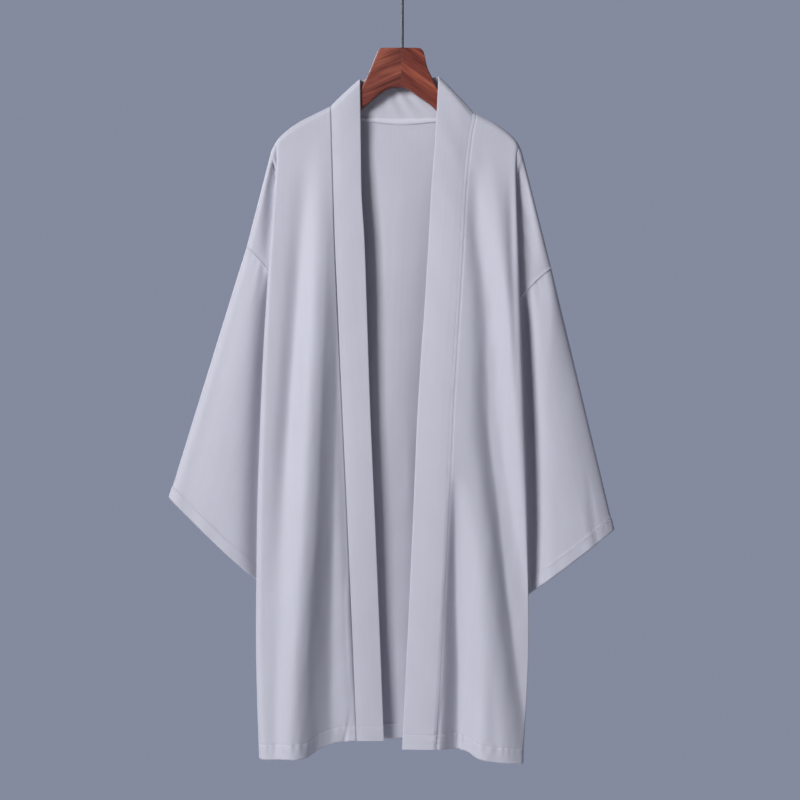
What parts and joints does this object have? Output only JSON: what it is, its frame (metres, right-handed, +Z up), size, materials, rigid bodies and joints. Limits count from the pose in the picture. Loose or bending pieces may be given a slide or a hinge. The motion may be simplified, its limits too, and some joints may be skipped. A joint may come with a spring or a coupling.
{
  "type": "hanfu jacket on a wooden hanger",
  "caption": "Open-front hanfu jacket with wide drop-shoulder sleeves and a straight neck band, hanging in folds on a flat wooden hanger with a wire hook.",
  "frame": {"origin": "the inside top of the hook, where it rests on a rail", "axes": "+Z up, +Y away from the viewer towards the jacket's back, +X to the viewer's right, the wearer's left"},
  "size_m": [0.6244, 0.0857, 1.1335],
  "materials": {
    "cloth": "thin smooth crepe, soft sheen",
    "band_cloth": "same crepe, doubled and pressed",
    "dark_wood": "satin lacquer",
    "light_wood": "satin lacquer",
    "wire": "black, satin"
  },
  "bodies": {
    "root": {"back": "cloth", "front_right": "cloth", "front_left": "cloth", "sleeve_right": "cloth", "sleeve_left": "cloth", "neck_band": "band_cloth", "hanger_half_right": "dark_wood", "hanger_half_left": "light_wood", "hanger_hook": "wire"}
  },
  "joints": []
}
